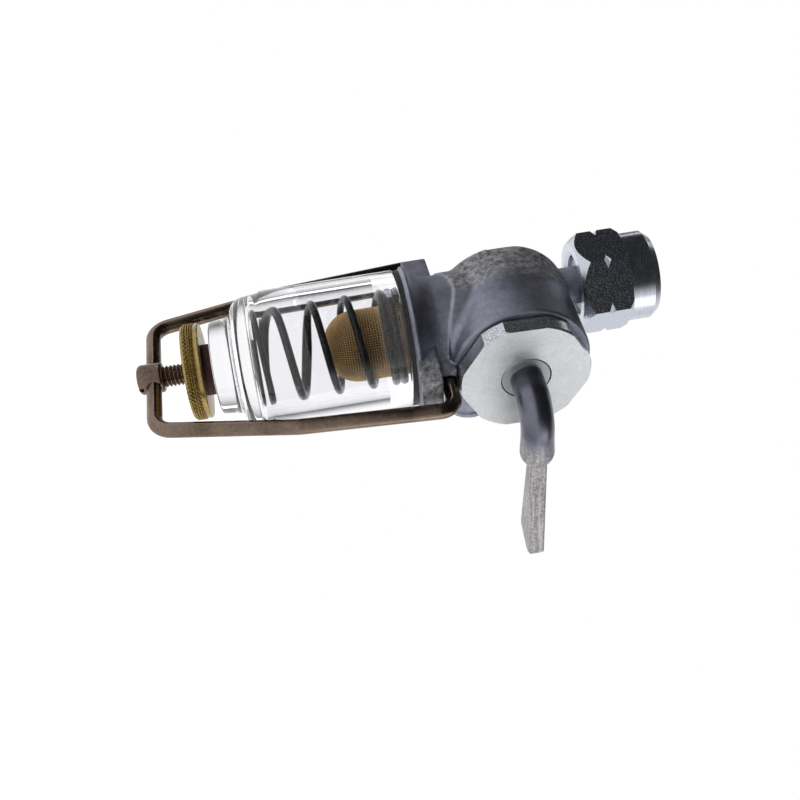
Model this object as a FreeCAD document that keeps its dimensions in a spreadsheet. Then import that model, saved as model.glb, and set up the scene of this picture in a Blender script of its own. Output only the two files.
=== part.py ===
"""Fuel tap with a glass sediment bowl, a gauze strainer and a lever valve.

Every sub-part is drawn about the valve centre, where the lever's axis crosses the bowl's axis:
+Z runs up the bowl's axis to the inlet, and the lever's stem points along -Y. The placements then
move all of it, so that the origin lies on the inlet's axis at the face that seals on the tank.
"""
import FreeCAD, Part
import math
import os

import Sketcher

os.makedirs("parts", exist_ok=True)
doc = FreeCAD.newDocument("fuel_tap")
Vector = FreeCAD.Vector

# ---------------------------------------------------------------------------------------------
# Driving dimensions, in millimetres
# ---------------------------------------------------------------------------------------------
DIMENSIONS = {
    # valve drum, its axis along Y
    "drum_radius": 18.0,
    "drum_front": 17.2,
    "drum_back": 11.2,
    "drum_edge": 2.8,
    "chamber_radius": 10.0,
    "mouth_radius": 13.0,
    "mouth_depth": 6.5,
    "port_radius": 2.2,
    "port_height": 5.5,
    # neck and bowl flange, about the bowl's axis
    "neck_radius": 15.2,
    "neck_foot": 19.0,
    "shoulder_radius": 15.6,
    "shoulder_blend": 3.0,
    "flange_radius": 18.8,
    "flange_face": 26.9,
    "flange_chamfer": 0.8,
    "flange_rim": 1.4,
    "flange_hollow": 7.67,
    "ear_reach": 24.8,
    "ear_width": 12.0,
    "ear_thickness": 5.4,
    "back_ear_face": 24.3,
    "back_ear_thickness": 6.8,
    "ear_round": 1.2,
    "hook_height": 19.2,
    "hook_boss_radius": 4.4,
    "spot_face": 17.4,
    "hook_boss_reach": 19.3,
    "hook_hole_radius": 2.3,
    "hook_hole_depth": 5.2,
    # inlet, parallel to the bowl's axis
    "inlet_offset": 10.3,
    "inlet_radius": 5.15,
    "inlet_shoulder": 22.5,
    "inlet_bore": 3.0,
    "tip_radius": 4.4,
    "stub_radius": 8.12,
    "stub_end": 31.0,
    "seat_height": 32.5,
    "washer_bore": 3.6,
    "washer_radius": 7.9,
    # outlet, along +X
    "outlet_height": 12.6,
    "outlet_offset": 8.0,
    "outlet_radius": 6.4,
    "outlet_reach": 19.3,
    "outlet_thread": 4.5,
    "outlet_depth": 8.0,
    "outlet_bore": 2.0,
    "outlet_groove": 0.5,
    # cap, lever and valve
    "cap_flats": 32.0,
    "cap_corner": 17.0,
    "cap_thickness": 4.3,
    "gasket_gap": 0.5,
    "skirt_bore": 10.3,
    "stem_radius": 6.35,
    "stem_bore": 6.55,
    "collar_radius": 9.0,
    "collar_thickness": 2.5,
    "thrust_thickness": 0.8,
    "rod_radius": 4.25,
    "lever_standoff": 12.0,
    "lever_bend": 7.0,
    "lever_shoulder": 17.6,
    "lever_reach": 55.6,
    "blade_thickness": 4.4,
    "seat_thickness": 2.0,
    "rotor_radius": 9.7,
    "rotor_thickness": 4.0,
    "hub_radius": 5.6,
    "hub_height": 3.6,
    "tang_radius": 3.6,
    "pin_radius": 1.2,
    "valve_spring_radius": 7.6,
    "valve_spring_wire": 0.6,
    # union nut
    "nut_flats": 24.0,
    "nut_start": 20.8,
    "nut_shoulder": 34.2,
    "nut_end": 42.1,
    "nut_collar": 12.0,
    "nut_bore": 8.2,
    "nut_mouth": 9.1,
    "nut_relief": 9.2,
    "nut_relief_low": 31.2,
    "nut_relief_high": 33.0,
    "nut_notch": 28.1,
    # glass bowl and strainer
    "glass_radius": 18.2,
    "glass_bore": 15.0,
    "glass_mouth": 28.1,
    "glass_shoulder": 63.3,
    "foot_radius": 12.4,
    "foot_top": 72.6,
    "foot_end": 77.7,
    "bowl_floor": 67.5,
    "gasket_bore": 15.2,
    "gauze_radius": 9.4,
    "gauze_wall": 0.4,
    "gauze_end": 48.9,
    "gauze_round": 8.5,
    "ferrule_radius": 13.8,
    "ferrule_bore": 8.3,
    "ferrule_flange": 1.0,
    "ferrule_length": 4.2,
    "spring_radius": 11.85,
    "spring_wire": 0.95,
    "spring_shift": 0.6,
    "spring_pitch": 8.8,
    "spring_foot": 66.4,
    "spring_open_start": 59.74,
    "spring_open_end": 33.2,
    # bail, screw, thumb nut and pad
    "wire_radius": 2.0,
    "hook_reach": 28.9,
    "hook_inner": 15.0,
    "knee_reach": 25.9,
    "knee_height": 58.4,
    "bar_reach": 19.0,
    "bar_height": 93.8,
    "corner_bend": 5.0,
    "knee_bend": 12.0,
    "hook_bend": 3.8,
    "head_radius": 4.0,
    "head_end": 97.9,
    "head_start": 91.1,
    "head_slot": 1.2,
    "screw_radius": 2.95,
    "screw_tip": 79.4,
    "thumb_radius": 12.7,
    "thumb_end": 84.9,
    "thumb_start": 80.1,
    "thumb_bore": 3.0,
    "pad_radius": 6.7,
    "pad_bore": 3.3,
}

sheet = doc.addObject("Spreadsheet::Sheet", "dimensions")
for row, (alias, number) in enumerate(DIMENSIONS.items(), start=1):
    sheet.set("A%d" % row, alias)
    sheet.set("B%d" % row, str(number))
    sheet.setAlias("B%d" % row, alias)
doc.recompute()


class Size:
    """A number together with the sheet expression that gives it."""

    def __init__(self, value, text):
        self.value = value
        self.text = text

    def combine(self, other, sign, swap=False):
        if not isinstance(other, Size):
            other = Size(float(other), repr(float(other)))
        first, second = (other, self) if swap else (self, other)
        results = {
            "+": lambda: first.value + second.value,
            "-": lambda: first.value - second.value,
            "*": lambda: first.value * second.value,
            "/": lambda: first.value / second.value,
        }
        return Size(results[sign](), "(%s %s %s)" % (first.text, sign, second.text))

    def __add__(self, other):
        return self.combine(other, "+")

    def __radd__(self, other):
        return self.combine(other, "+", swap=True)

    def __sub__(self, other):
        return self.combine(other, "-")

    def __rsub__(self, other):
        return self.combine(other, "-", swap=True)

    def __mul__(self, other):
        return self.combine(other, "*")

    def __rmul__(self, other):
        return self.combine(other, "*", swap=True)

    def __truediv__(self, other):
        return self.combine(other, "/")

    def __neg__(self):
        return Size(-self.value, "(0 - %s)" % self.text)


class Dimensions:
    """The sheet's cells as Size objects: dim.drum_radius and so on."""

    def __getattr__(self, alias):
        return Size(float(sheet.get(alias)), "dimensions." + alias)


dim = Dimensions()


def number(size):
    return size.value if isinstance(size, Size) else float(size)


def bind(thing, path, size):
    """Set a property and, where the size comes from the sheet, keep it bound to the sheet."""
    if isinstance(size, Size):
        thing.setExpression(path, size.text)
    else:
        thing.setExpression(path, repr(float(size)))


# ---------------------------------------------------------------------------------------------
# Sketches and features
# ---------------------------------------------------------------------------------------------
def new_body(name):
    body = doc.addObject("PartDesign::Body", name)
    body.Label = name
    return body


def origin_plane(body, role):
    return next(item for item in body.Origin.OriginFeatures if item.Role == role)


def new_sketch(body, name, role, offset=None):
    """A sketch on one of the body's own origin planes, moved along the plane's normal."""
    sketch = body.newObject("Sketcher::SketchObject", name)
    sketch.AttachmentSupport = [(origin_plane(body, role), "")]
    sketch.MapMode = "FlatFace"
    if offset is not None:
        bind(sketch, "AttachmentOffset.Base.z", offset)
    return sketch


def locate(sketch, geometry, end, across, up):
    """Fix one end of a line or arc at a place given by two sizes."""
    for kind, size in (("DistanceX", across), ("DistanceY", up)):
        index = sketch.addConstraint(
            Sketcher.Constraint(kind, -1, 1, geometry, end, number(size)))
        if isinstance(size, Size):
            sketch.setExpression("Constraints[%d]" % index, size.text)


def outline(sketch, points):
    """A closed outline. A point is (across, up), or (across, up, radius) where the edge that
    leaves it is an arc of that radius: positive bulges to the right of the way ahead."""
    places = [Vector(number(point[0]), number(point[1]), 0) for point in points]
    count = len(points)
    first = sketch.GeometryCount
    for index, point in enumerate(points):
        start = places[index]
        end = places[(index + 1) % count]
        if len(point) == 2:
            sketch.addGeometry(Part.LineSegment(start, end), False)
            continue
        radius = abs(number(point[2]))
        side = 1.0 if number(point[2]) > 0 else -1.0
        chord = end - start
        middle = (start + end) * 0.5
        normal = Vector(chord.y, -chord.x, 0).normalize() * side
        rise = radius - math.sqrt(max(radius ** 2 - (chord.Length / 2) ** 2, 0.0))
        if side < 0:
            start, end = end, start
        sketch.addGeometry(Part.Arc(start, middle + normal * rise, end), False)
    for index, point in enumerate(points):
        geometry = first + index
        following = first + (index + 1) % count
        curve = sketch.Geometry[geometry]
        head = 1 if (curve.StartPoint - places[index]).Length < 1e-6 else 2
        tail = 3 - head
        next_curve = sketch.Geometry[following]
        next_place = places[(index + 1) % count]
        next_head = 1 if (next_curve.StartPoint - next_place).Length < 1e-6 else 2
        sketch.addConstraint(
            Sketcher.Constraint("Coincident", geometry, tail, following, next_head))
        locate(sketch, geometry, head, point[0], point[1])
        if len(point) == 3:
            radius = point[2] if number(point[2]) > 0 else -point[2]
            bound = sketch.addConstraint(
                Sketcher.Constraint("Radius", geometry, number(radius)))
            if isinstance(radius, Size):
                sketch.setExpression("Constraints[%d]" % bound, radius.text)


def circle(sketch, across, up, radius):
    place = Vector(number(across), number(up), 0)
    geometry = sketch.addGeometry(Part.Circle(place, Vector(0, 0, 1), number(radius)), False)
    locate(sketch, geometry, 3, across, up)
    bound = sketch.addConstraint(Sketcher.Constraint("Radius", geometry, number(radius)))
    if isinstance(radius, Size):
        sketch.setExpression("Constraints[%d]" % bound, radius.text)


def settle(feature):
    """Recompute, and stop at once where a feature fails."""
    doc.recompute()
    if "Invalid" in feature.State or feature.Shape.isNull():
        raise RuntimeError("%s fails: %s" % (feature.Name, feature.getStatusString()))


def revolve(body, name, points, cut=False, role="XZ_Plane", axis="V_Axis"):
    """Turn an outline about the sketch's own vertical or horizontal axis."""
    sketch = new_sketch(body, name + "_sketch", role)
    outline(sketch, points)
    doc.recompute()
    before = body.Shape.Volume if cut else 0.0
    kind = "PartDesign::Groove" if cut else "PartDesign::Revolution"
    feature = body.newObject(kind, name)
    feature.Profile = sketch
    feature.ReferenceAxis = (sketch, [axis])
    feature.Angle = 360.0
    settle(feature)
    if cut and body.Shape.Volume >= before - 1e-6:
        raise RuntimeError(name + " cuts nothing")
    return feature


def extrude(body, name, sketch, length, middle=False, backwards=False, cut=False):
    doc.recompute()
    before = body.Shape.Volume if cut else 0.0
    kind = "PartDesign::Pocket" if cut else "PartDesign::Pad"
    feature = body.newObject(kind, name)
    feature.Profile = sketch
    bind(feature, "Length", length)
    feature.SideType = "Symmetric" if middle else "One side"
    feature.Reversed = backwards
    settle(feature)
    if cut and body.Shape.Volume >= before - 1e-6:
        raise RuntimeError(name + " cuts nothing")
    return feature


def rod(body, name, role, across, up, radius, start, length, backwards=False, cut=False,
        middle=False):
    """A round pad or pocket whose axis is the plane's normal."""
    sketch = new_sketch(body, name + "_sketch", role, start)
    circle(sketch, across, up, radius)
    return extrude(body, name, sketch, length, middle, backwards, cut)


def edges_where(shape, accept):
    return ["Edge%d" % index for index, edge in enumerate(shape.Edges, start=1) if accept(edge)]


def dress(body, kind, name, size, accept):
    """Fillet or chamfer the edges of the body that a test accepts."""
    base = body.Tip
    names = edges_where(base.Shape, accept)
    if not names:
        raise RuntimeError(name + " finds no edge")
    feature = body.newObject("PartDesign::" + kind, name)
    feature.Base = (base, names)
    bind(feature, "Radius" if kind == "Fillet" else "Size", size)
    settle(feature)
    return feature


def hexagon(flats, turn):
    """Corners of a hexagon, the first one turned by that many degrees from the horizontal."""
    reach = flats * (1.0 / math.sqrt(3.0))
    angles = [math.radians(turn + 60 * side) for side in range(6)]
    return [(reach * math.cos(angle), reach * math.sin(angle)) for angle in angles]


# ---------------------------------------------------------------------------------------------
# Valve body: one light-metal casting
# ---------------------------------------------------------------------------------------------
def make_valve_body():
    body = new_body("valve_body")
    top = -dim.flange_face

    # Valve drum, turned about the Y axis.
    revolve(body, "drum", [
        (0.0, -dim.drum_front),
        (dim.drum_radius - 0.4, -dim.drum_front),
        (dim.drum_radius, -dim.drum_front + 0.4),
        (dim.drum_radius, dim.drum_back - dim.drum_edge, dim.drum_edge),
        (dim.drum_radius - dim.drum_edge, dim.drum_back),
        (0.0, dim.drum_back),
    ], role="XY_Plane")

    # Shoulder that blends the drum into the neck; its foot ends in a curved step.
    shoulder = dim.shoulder_radius
    revolve(body, "shoulder", [(0.0, -24.0), (shoulder, -24.0), (shoulder, -8.0), (0.0, -8.0)])
    radius = number(shoulder)
    drum = number(dim.drum_radius)

    def at_root(edge):
        place = edge.valueAt((edge.FirstParameter + edge.LastParameter) / 2)
        from_bowl_axis = math.hypot(place.x, place.y)
        from_drum_axis = math.hypot(place.x, place.z)
        return (abs(from_bowl_axis - radius) < 0.05 and abs(from_drum_axis - drum) < 0.05
                and place.z < 0)

    dress(body, "Fillet", "shoulder_blend", dim.shoulder_blend, at_root)
    foot = new_sketch(body, "shoulder_foot_sketch", "XZ_Plane")
    outline(foot, [
        (-15.8, -13.7, 9.8),
        (-9.0, -17.45, 50.0),
        (0.0, -18.15, 50.0),
        (9.0, -17.45, 9.8),
        (15.8, -13.7),
        (20.0, -13.7),
        (20.0, -25.0),
        (-20.0, -25.0),
        (-20.0, -13.7),
    ])
    extrude(body, "shoulder_foot", foot, 50.0, middle=True, cut=True)

    # Neck that flares out into the bowl flange.
    revolve(body, "neck", [
        (0.0, top),
        (dim.flange_radius - dim.flange_chamfer, top),
        (dim.flange_radius, top + dim.flange_chamfer),
        (dim.flange_radius, top + dim.flange_rim, -dim.flange_hollow),
        (dim.neck_radius, -dim.neck_foot),
        (dim.neck_radius, -8.0),
        (0.0, -8.0),
    ])

    # Ears on both sides of the flange: the front one ends under the bail's hook, the back one
    # is taller and the hook goes through it.
    half = dim.ear_width / 2.0
    for name, side, face, thickness in (
            ("front_ear", -1.0, top, dim.ear_thickness),
            ("back_ear", 1.0, -dim.back_ear_face, dim.back_ear_thickness)):
        ear = new_sketch(body, name + "_sketch", "XY_Plane", face)
        outline(ear, [
            (-(half + 2.5), 6.0 * side),
            (half + 2.5, 6.0 * side),
            (half + 2.5, 10.0 * side),
            (half, dim.ear_reach * side),
            (-half, dim.ear_reach * side),
            (-(half + 2.5), 10.0 * side),
        ])
        extrude(body, name, ear, thickness)
    reach = number(dim.ear_reach)
    dress(body, "Fillet", "ear_rounding", dim.ear_round,
          lambda edge: len(edge.Vertexes) == 2
          and all(abs(abs(v.Y) - reach) < 1e-3 for v in edge.Vertexes)
          and not all(abs(v.Z - number(top)) < 1e-3 for v in edge.Vertexes))

    # Cross boss for the two hooks.
    rod(body, "hook_boss", "XZ_Plane", 0.0, -dim.hook_height, dim.hook_boss_radius,
        None, dim.hook_boss_reach * 2.0, middle=True)

    # Inlet neck with a thinner tip for the threaded stub.
    rod(body, "inlet_neck", "XY_Plane", 0.0, dim.inlet_offset, dim.inlet_radius,
        None, dim.inlet_shoulder)
    rod(body, "inlet_tip", "XY_Plane", 0.0, dim.inlet_offset, dim.tip_radius,
        dim.inlet_shoulder, dim.stub_end - dim.inlet_shoulder)
    rod(body, "inlet_root", "XY_Plane", 0.0, dim.inlet_offset, dim.inlet_radius,
        None, 8.0, backwards=True)

    # Outlet boss.
    rod(body, "outlet_boss", "YZ_Plane", -dim.outlet_offset, -dim.outlet_height,
        dim.outlet_radius, None, dim.outlet_reach)
    groove_end = dim.outlet_reach - 1.3
    ring = new_sketch(body, "outlet_groove_sketch", "YZ_Plane", groove_end)
    circle(ring, -dim.outlet_offset, -dim.outlet_height, dim.outlet_radius + 0.6)
    circle(ring, -dim.outlet_offset, -dim.outlet_height, dim.outlet_radius - dim.outlet_groove)
    extrude(body, "outlet_groove", ring, 1.2, cut=True)

    # Gate mark: a narrow flat on the rear edge of the drum.
    gate = new_sketch(body, "gate_sketch", "XY_Plane", -3.0)
    edge = dim.drum_radius
    outline(gate, [
        (-(edge - 1.7), dim.drum_back),
        (-(edge + 1.0), dim.drum_back),
        (-(edge + 1.0), dim.drum_back - 5.0),
        (-(edge - 0.3), dim.drum_back - 5.0),
    ])
    extrude(body, "gate", gate, 11.0, backwards=True, cut=True)

    # Valve chamber with its threaded mouth.
    revolve(body, "chamber", [
        (0.0, -dim.drum_front - 1.0),
        (dim.mouth_radius, -dim.drum_front - 1.0),
        (dim.mouth_radius, -dim.drum_front + dim.mouth_depth),
        (dim.chamber_radius, -dim.drum_front + dim.mouth_depth),
        (dim.chamber_radius, 0.0),
        (0.0, 0.0),
    ], cut=True, role="XY_Plane")

    # Spot face that lets the cap and its gasket seat inside the hook boss.
    revolve(body, "spot_face", [
        (0.0, -dim.drum_front - 5.0),
        (dim.spot_face, -dim.drum_front - 5.0),
        (dim.spot_face, -dim.drum_front),
        (0.0, -dim.drum_front),
    ], cut=True, role="XY_Plane")

    # Ring channel in the flange face, outside the strainer.
    revolve(body, "bowl_channel", [
        (12.8, top - 1.0),
        (15.0, top - 1.0),
        (15.0, top + 1.4),
        (12.8, top + 1.4),
    ], cut=True)

    # Blind holes for the hooks, both as deep as the hook boss asks.
    start = dim.hook_boss_reach + 1.0
    depth = dim.hook_hole_depth + 1.0
    rod(body, "front_hook_hole", "XZ_Plane", 0.0, -dim.hook_height, dim.hook_hole_radius,
        start, depth, cut=True)
    start = dim.ear_reach + 1.0
    depth = start - dim.hook_boss_reach + dim.hook_hole_depth
    rod(body, "back_hook_hole", "XZ_Plane", 0.0, -dim.hook_height, dim.hook_hole_radius,
        -start, depth, backwards=True, cut=True)

    # Way in: down the inlet, then forward to the upper port in the chamber's floor.
    rod(body, "inlet_way", "XY_Plane", 0.0, dim.inlet_offset, dim.inlet_bore,
        dim.stub_end, dim.stub_end - dim.port_height + dim.port_radius + 1.0, cut=True)
    rod(body, "upper_port", "XZ_Plane", 0.0, dim.port_height, dim.port_radius,
        1.0, dim.inlet_offset, cut=True)

    # From the lower port down to the ring channel.
    rod(body, "lower_port", "XZ_Plane", 0.0, -dim.port_height, dim.port_radius,
        1.0, 7.2, cut=True)
    slant = new_sketch(body, "slant_sketch", "XZ_Plane", -5.0)
    outline(slant, [
        (-0.6, -dim.port_height + 0.8),
        (-2.0, -dim.port_height - 0.8),
        (-14.2, top + 0.4),
        (-12.4, top + 0.4),
    ])
    extrude(body, "slant_way", slant, 2.4, middle=True, cut=True)

    # Clean way: up from the middle of the strainer, then sideways to the threaded outlet.
    rod(body, "clean_way", "XY_Plane", 0.0, -dim.outlet_offset, dim.outlet_bore + 0.5,
        -dim.outlet_height, dim.flange_face - dim.outlet_height, cut=True)
    rod(body, "outlet_way", "YZ_Plane", -dim.outlet_offset, -dim.outlet_height,
        dim.outlet_bore, dim.outlet_reach, dim.outlet_reach + 1.0, cut=True)
    rod(body, "outlet_socket", "YZ_Plane", -dim.outlet_offset, -dim.outlet_height,
        dim.outlet_thread, dim.outlet_reach, dim.outlet_depth, cut=True)
    return body


# ---------------------------------------------------------------------------------------------
# Cap, lever and the valve inside the drum
# ---------------------------------------------------------------------------------------------
def make_cap_nut():
    """Hexagon cap with a threaded skirt; its six corners are turned off."""
    body = new_body("cap_nut")
    back = dim.drum_front + dim.gasket_gap
    front = back + dim.cap_thickness
    plate = new_sketch(body, "plate_sketch", "XZ_Plane", back)
    outline(plate, hexagon(dim.cap_flats, 88.0))
    extrude(body, "plate", plate, dim.cap_thickness)
    revolve(body, "turned_corners", [
        (dim.cap_corner - 0.5, -(front + 0.2)),
        (dim.cap_corner + 4.0, -(front + 0.2)),
        (dim.cap_corner + 4.0, -(back - 0.2)),
        (dim.cap_corner, -(back - 0.2)),
        (dim.cap_corner, -(front - 0.5)),
    ], cut=True, role="XY_Plane")
    skirt_end = dim.drum_front - dim.mouth_depth + 0.6
    revolve(body, "skirt", [
        (dim.skirt_bore, -(back + 0.5)),
        (dim.mouth_radius - 0.05, -(back + 0.5)),
        (dim.mouth_radius - 0.05, -(skirt_end + 0.8)),
        (dim.mouth_radius - 0.85, -skirt_end),
        (dim.skirt_bore, -skirt_end),
    ], role="XY_Plane")
    revolve(body, "stem_hole", [
        (0.0, -(front + 1.0)),
        (dim.stem_bore, -(front + 1.0)),
        (dim.stem_bore, -(back - 1.0)),
        (0.0, -(back - 1.0)),
    ], cut=True, role="XY_Plane")
    return body


def make_ring(name, role, inner, outer, low, high):
    """A flat ring about the Y axis (on XY_Plane) or about the Z axis (on XZ_Plane)."""
    body = new_body(name)
    revolve(body, name + "_turning",
            [(inner, low), (outer, low), (outer, high), (inner, high)], role=role)
    return body


def make_torus(name, major, minor, position):
    """A round ring about the Y axis."""
    ring = doc.addObject("Part::Torus", name)
    ring.Label = name
    bind(ring, "Radius1", major)
    bind(ring, "Radius2", minor)
    ring.Placement = FreeCAD.Placement(
        Vector(0, number(position), 0), FreeCAD.Rotation(Vector(1, 0, 0), 90))
    return ring


def cap_face():
    return dim.drum_front + dim.gasket_gap + dim.cap_thickness


def collar_front():
    return dim.drum_front + dim.gasket_gap - dim.thrust_thickness


def make_lever():
    """One forging: stem with collar and tang, bent rod, rounded shoulder and flat blade."""
    front = number(cap_face())
    stand = front + number(dim.lever_standoff)
    stem = number(dim.stem_radius)
    collar = number(dim.collar_radius)
    collar_at = number(collar_front())
    collar_end = collar_at - number(dim.collar_thickness)
    tang = number(dim.tang_radius)
    tang_end = number(dim.seat_thickness + dim.rotor_thickness) - 1.4
    groove_at = front - 1.4
    groove_end = groove_at - 1.6
    profile = [
        (0, front), (stem - 0.2, front), (stem, front - 0.2), (stem, groove_at),
        (stem - 1.2, groove_at), (stem - 1.2, groove_end), (stem, groove_end),
        (stem, collar_at), (collar, collar_at), (collar, collar_end), (tang, collar_end),
        (tang, tang_end), (0, tang_end),
    ]
    wire = Part.makePolygon([Vector(r, -depth, 0) for r, depth in profile + profile[:1]])
    turned = Part.Face(wire).revolve(Vector(0, 0, 0), Vector(0, 1, 0), 360)

    # Rod: out along -Y, then one bend towards +X.
    radius = number(dim.rod_radius)
    bend = number(dim.lever_bend)
    shoulder = number(dim.lever_shoulder)
    start = Vector(0, -front + 0.5, 0)
    bend_in = Vector(0, -(stand - bend), 0)
    bend_out = Vector(bend, -stand, 0)
    spread = math.sqrt(0.5) * bend
    bend_middle = Vector(bend - spread, -(stand - bend) - spread, 0)
    path = Part.Wire([
        Part.LineSegment(start, bend_in).toShape(),
        Part.Arc(bend_in, bend_middle, bend_out).toShape(),
    ])
    section = Part.Wire(Part.makeCircle(radius, start, Vector(0, 1, 0)))
    bent = path.makePipeShell([section], True, False)

    # Straight end of the rod, swelling a little towards a round shoulder.
    swell = radius + 0.2
    middle = shoulder - 3.4
    slope = math.sqrt(0.5) * swell

    def at(x, r):
        return Vector(x, -stand + r, 0)

    end_wire = Part.Wire([
        Part.LineSegment(at(bend, 0), at(bend, radius)).toShape(),
        Part.LineSegment(at(bend, radius), at(middle - 5.0, radius)).toShape(),
        Part.LineSegment(at(middle - 5.0, radius), at(middle, swell)).toShape(),
        Part.Arc(at(middle, swell), at(middle + slope, slope), at(middle + swell, 0)).toShape(),
        Part.LineSegment(at(middle + swell, 0), at(bend, 0)).toShape(),
    ])
    rod_end = Part.Face(end_wire).revolve(Vector(0, -stand, 0), Vector(1, 0, 0), 360)

    # Blade: flat across Z, wider towards its square end.
    half = number(dim.blade_thickness) / 2
    reach = number(dim.lever_reach)
    root = shoulder - 4.0
    outer = -(stand + 2.7)
    edge = [
        (root, -(stand - 2.6)), (root + 7.5, -(stand - 2.5)), (reach - 5.5, -(stand - 7.6)),
        (reach - 3.6, -(stand - 7.4)), (reach - 0.2, -(stand - 0.5)), (reach - 0.6, outer + 1.4),
        (reach - 1.8, outer), (root + 8.0, outer), (root, -(stand + 2.6)),
    ]
    face = Part.Face(Part.makePolygon([Vector(x, y, -half) for x, y in edge + edge[:1]]))
    blade = face.extrude(Vector(0, 0, 2 * half))
    rims = [line for line in blade.Edges
            if abs(abs(line.CenterOfMass.z) - half) < 1e-6
            and max(v.X for v in line.Vertexes) > root + 0.1]
    blade = blade.makeFillet(0.8, rims)

    whole = turned.fuse([bent, rod_end, blade]).removeSplitter()
    pin_at = number(pin_depth())
    hole = Part.makeCylinder(number(dim.pin_radius), 4 * tang,
                             Vector(-2 * tang, -pin_at, 0), Vector(1, 0, 0))
    feature = doc.addObject("Part::Feature", "lever")
    feature.Label = "lever"
    feature.Shape = whole.cut(hole).Solids[0]
    return feature


def pin_depth():
    """Distance of the drive pin's axis in front of the valve centre."""
    return dim.seat_thickness + dim.rotor_thickness + dim.hub_height / 2.0


def make_rotor_seat():
    """Sealing disc on the chamber's floor, with the two ports."""
    body = new_body("rotor_seat")
    revolve(body, "disc", [
        (0.0, -dim.seat_thickness),
        (dim.chamber_radius, -dim.seat_thickness),
        (dim.chamber_radius, 0.0),
        (0.0, 0.0),
    ], role="XY_Plane")
    for name, height in (("upper_hole", dim.port_height), ("lower_hole", -dim.port_height)):
        rod(body, name, "XZ_Plane", 0.0, height, dim.port_radius,
            dim.seat_thickness + 1.0, dim.seat_thickness + 2.0, cut=True)
    return body


def make_rotor():
    """Disc with a channel that joins the two ports, and a hub for the lever's tang."""
    body = new_body("rotor")
    back = dim.seat_thickness
    front = back + dim.rotor_thickness
    revolve(body, "disc", [
        (0.0, -back),
        (dim.rotor_radius, -back),
        (dim.rotor_radius, -front),
        (dim.hub_radius, -front),
        (dim.hub_radius, -(front + dim.hub_height)),
        (dim.tang_radius, -(front + dim.hub_height)),
        (dim.tang_radius, -(front - 1.4)),
        (0.0, -(front - 1.4)),
    ], role="XY_Plane")
    channel = new_sketch(body, "channel_sketch", "XZ_Plane", back)
    long = dim.port_height + dim.port_radius
    wide = dim.port_radius
    outline(channel, [(long, -wide), (long, wide), (-long, wide), (-long, -wide)])
    extrude(body, "channel", channel, 1.6, backwards=True, cut=True)
    rod(body, "pin_hole", "YZ_Plane", -pin_depth(), 0.0, dim.pin_radius,
        None, dim.hub_radius * 2.0 + 1.0, cut=True, middle=True)
    return body


def make_drive_pin():
    body = new_body("drive_pin")
    rod(body, "pin", "YZ_Plane", -pin_depth(), 0.0, dim.pin_radius,
        None, dim.hub_radius * 2.0 - 0.4, middle=True)
    return body


# ---------------------------------------------------------------------------------------------
# Springs
# ---------------------------------------------------------------------------------------------
def make_coil(name, radius, wire, stations, along_y=False):
    """A coil spring. Stations are (turns, height) pairs, the pitch changing between them."""
    steps = 16
    points = []
    for (turn_a, height_a), (turn_b, height_b) in zip(stations, stations[1:]):
        count = max(2, round((turn_b - turn_a) * steps))
        for step in range(count):
            share = step / count
            points.append((turn_a + (turn_b - turn_a) * share,
                           height_a + (height_b - height_a) * share))
    points.append(stations[-1])
    places = []
    for turn, height in points:
        angle = 2 * math.pi * turn
        across, up = radius * math.cos(angle), radius * math.sin(angle)
        places.append(Vector(across, height, up) if along_y else Vector(across, up, height))
    curve = Part.BSplineCurve()
    curve.interpolate(places)
    path = Part.Wire(curve.toShape())
    section = Part.Wire(Part.makeCircle(wire, places[0], curve.tangent(curve.FirstParameter)[0]))
    feature = doc.addObject("Part::Feature", name)
    feature.Label = name
    feature.Shape = path.makePipeShell([section], True, True).Solids[0]
    return feature


def make_strainer_spring():
    """Closed coils at both ends, open coils between them."""
    wire = number(dim.spring_wire)
    closed = 2.15 * wire
    foot = -number(dim.spring_foot)
    low = -number(dim.spring_open_start)
    high = -number(dim.spring_open_end)
    pitch = number(dim.spring_pitch)
    begin = 0.375
    finish = begin + (high - low) / pitch
    return make_coil("strainer_spring", number(dim.spring_radius), wire, [
        (begin - 1.8, foot),
        (begin - 1.0, foot + 1.0),
        (begin - 0.5, foot + 4.1),
        (begin, low),
        (finish, high),
        (finish + 2.1, high + 2.1 * closed),
    ])


def make_rotor_spring():
    wire = number(dim.valve_spring_wire)
    back = -number(dim.seat_thickness + dim.rotor_thickness) - wire - 0.05
    front = -number(collar_front() - dim.collar_thickness) + wire + 0.05
    return make_coil("rotor_spring", number(dim.valve_spring_radius), wire, [
        (0.0, back), (1.0, back - 1.3), (2.5, front + 1.3), (3.5, front),
    ], along_y=True)


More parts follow.
